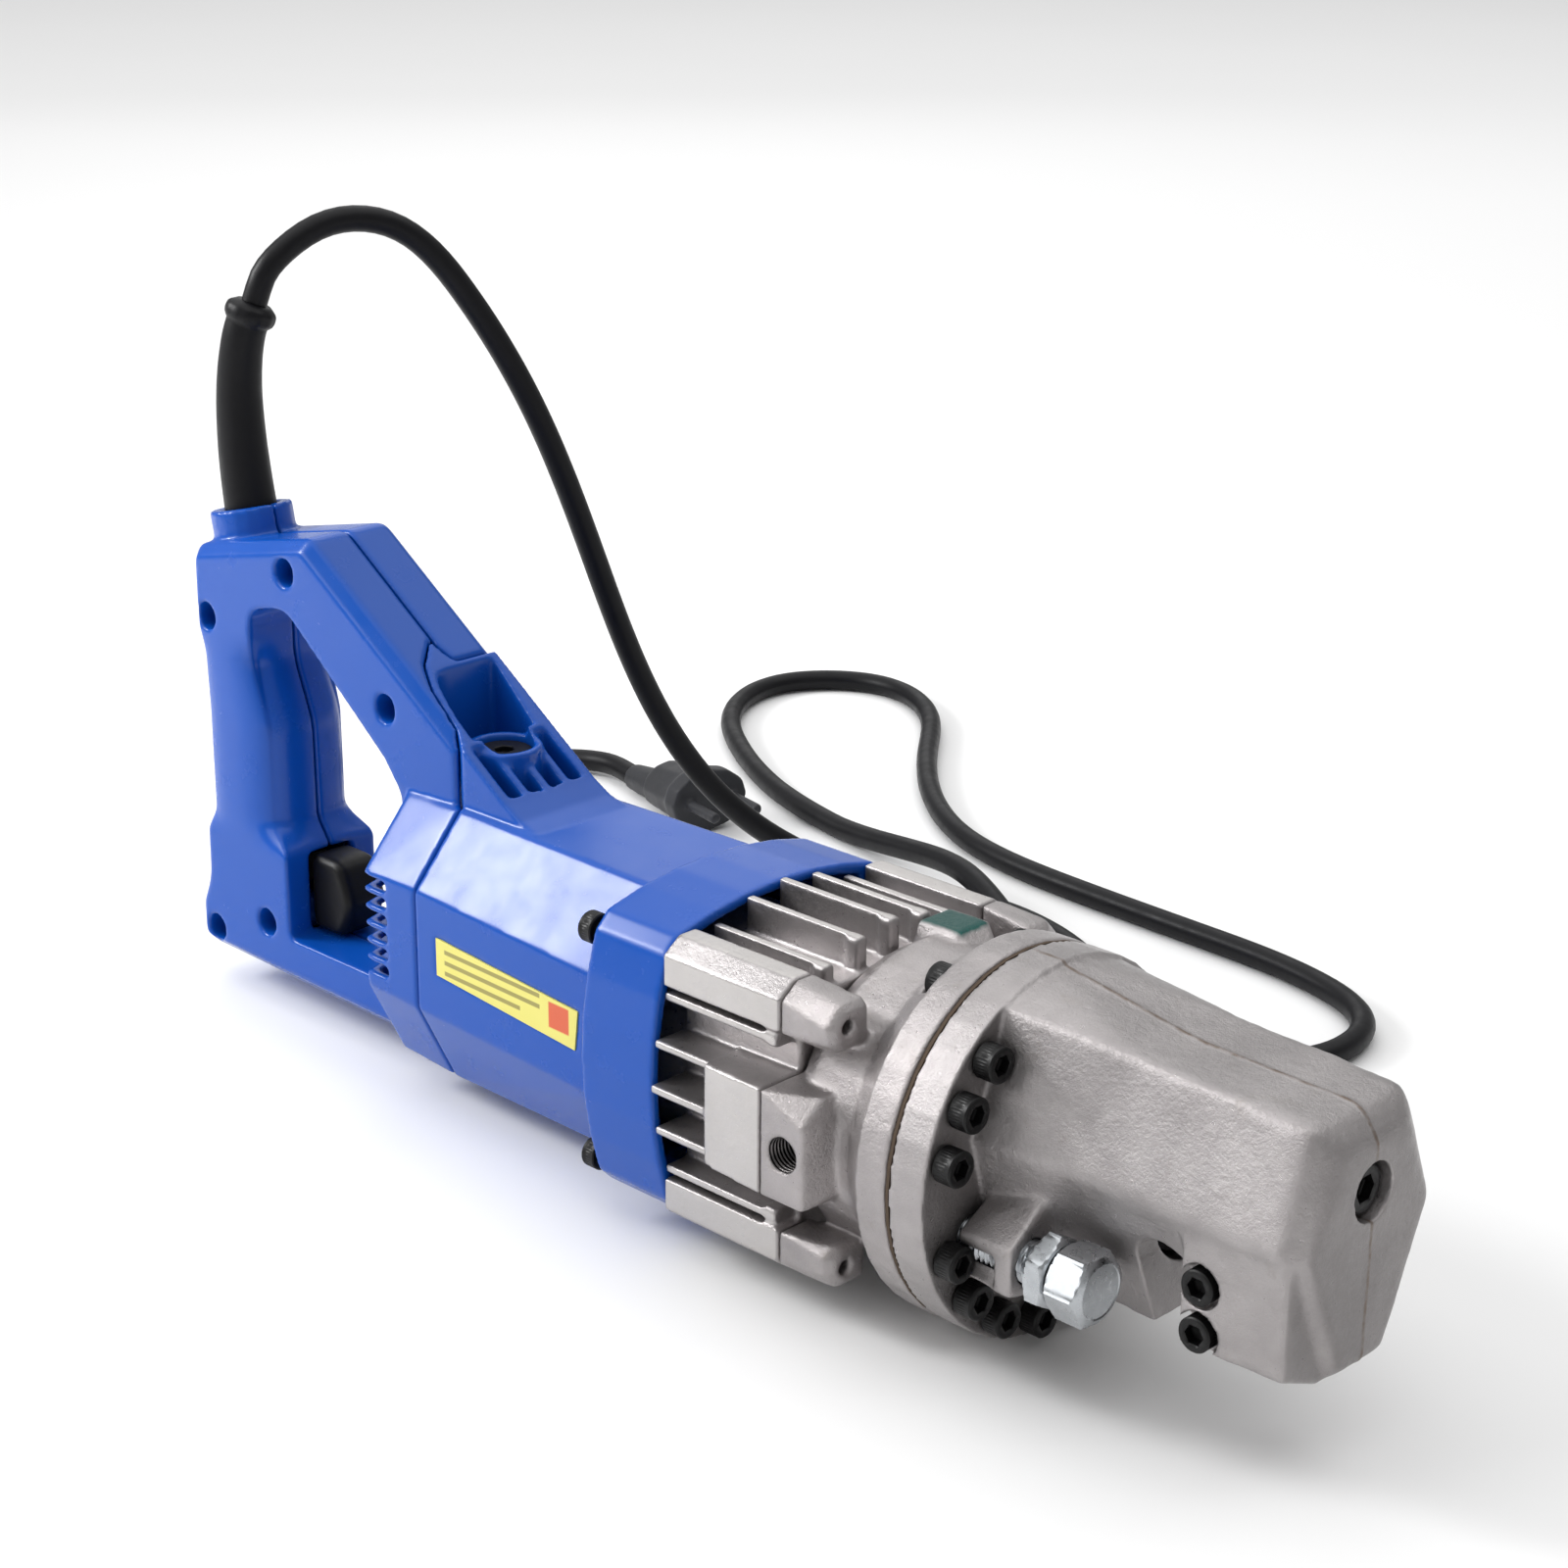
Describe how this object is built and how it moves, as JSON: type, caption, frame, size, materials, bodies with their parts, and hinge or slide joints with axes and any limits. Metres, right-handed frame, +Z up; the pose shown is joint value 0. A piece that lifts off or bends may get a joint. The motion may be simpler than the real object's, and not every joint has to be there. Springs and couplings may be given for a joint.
{
  "type": "rebar cutter",
  "caption": "Handheld electro-hydraulic cutter with a D-handle, a finned pump case, an open C-shaped head with fixed and moving cutters, a bar stop and a mains lead.",
  "frame": {"origin": "middle of the underside: under the centre of the tool's box without its cord, on the ground that the round flange touches", "axes": "+X along the ram, from the handle to the cutter head; +Z up; the tool is drawn level"},
  "size_m": [0.5491, 0.4352, 0.2594],
  "materials": {
    "shell_blue": "moulded ABS, satin to gloss",
    "cast_steel": "silver-grey coated casting with a fine sandy texture, machined flange faces",
    "cast_aluminium": "silver-grey casting, fin edges machined",
    "black_steel": "black oxide",
    "zinc": "bright zinc plate",
    "steel": "ground",
    "laminations": "varnished lamination stack",
    "armature": "varnished core with copper windings",
    "black_plastic": "matt black moulding",
    "carbon": "carbon",
    "gasket_fibre": "brown fibre sheet",
    "label_yellow": "printed foil",
    "black_rubber": "smooth black rubber",
    "plug_grey": "grey moulded plug"
  },
  "bodies": {
    "tool": {"handle_shell_left": "shell_blue", "handle_shell_right": "shell_blue", "handle_screw_1": "black_steel", "handle_screw_2": "black_steel", "handle_screw_3": "black_steel", "handle_screw_4": "black_steel", "handle_screw_5": "black_steel", "handle_screw_6": "black_steel", "motor_housing": "shell_blue", "rating_label": "label_yellow", "brush_cap_top": "black_plastic", "brush_top": "carbon", "brush_cap_bottom": "black_plastic", "brush_bottom": "carbon", "housing_screw_1": "black_steel", "housing_screw_2": "black_steel", "housing_screw_3": "black_steel", "housing_screw_4": "black_steel", "stator": "laminations", "rear_bearing": "steel", "front_bearing": "steel", "pump_case": "cast_aluminium", "pump_plunger": "steel", "cylinder_body": "cast_steel", "head_gasket": "gasket_fibre", "return_spring": "steel", "cutter_head": "cast_steel", "fixed_cutter": "black_steel", "fixed_cutter_screw_1": "black_steel", "fixed_cutter_screw_2": "black_steel", "head_tip_screw": "black_steel", "flange_screw_1": "black_steel", "flange_screw_2": "black_steel", "flange_screw_3": "black_steel", "flange_screw_4": "black_steel", "flange_screw_5": "black_steel", "flange_screw_6": "black_steel", "flange_screw_7": "black_steel", "flange_screw_8": "black_steel", "flange_screw_9": "black_steel", "flange_screw_10": "black_steel", "flange_screw_11": "black_steel", "flange_screw_12": "black_steel", "flange_screw_13": "black_steel", "flange_screw_14": "black_steel", "flange_screw_15": "black_steel", "flange_screw_16": "black_steel", "trigger_switch": "black_plastic", "cord_guard": "black_rubber", "cord_run": "black_rubber", "plug": "plug_grey"},
    "trigger": {"trigger": "black_plastic"},
    "ram": {"piston": "steel", "moving_cutter": "black_steel"},
    "rotor": {"armature": "armature", "cooling_fan": "black_plastic"},
    "cam_drive": {"drive_gear": "steel", "cam_shaft": "steel"},
    "stopper_slider": {"stopper_nut": "zinc"},
    "stopper_screw": {"stopper_bolt": "zinc"}
  },
  "joints": [
    {"name": "trigger_pull", "type": "slide", "parent": "tool", "child": "trigger", "axis": [-1, 0, 0], "range_m": [0, 0.007], "stiffness_N_per_m": 600, "springref_m": -0.004},
    {"name": "ram_stroke", "type": "slide", "parent": "tool", "child": "ram", "axis": [1, 0, 0], "range_m": [0, 0.017], "stiffness_N_per_m": 3000, "springref_m": -0.006, "deforming": ["return_spring"]},
    {"name": "rotor_spin", "type": "hinge", "parent": "tool", "child": "rotor", "pos_m": [-0.041, 0, 0.0535], "axis": [1, 0, 0], "continuous": true},
    {"name": "cam_spin", "type": "hinge", "parent": "tool", "child": "cam_drive", "pos_m": [0.02, 0, 0.0355], "axis": [1, 0, 0], "continuous": true},
    {"name": "stopper_advance", "type": "slide", "parent": "tool", "child": "stopper_slider", "axis": [1, 0, 0], "range_m": [-0.002, 0.0121]},
    {"name": "stopper_turn", "type": "hinge", "parent": "stopper_slider", "child": "stopper_screw", "pos_m": [0.167, -0.033, 0.0395], "axis": [1, 0, 0], "range_deg": [-412, 2490]}
  ],
  "couplings": [
    {"joint": "cam_spin", "follows": "rotor_spin", "ratio": -0.33333},
    {"joint": "stopper_turn", "follows": "stopper_advance", "rad_per_m": 3590.4}
  ]
}
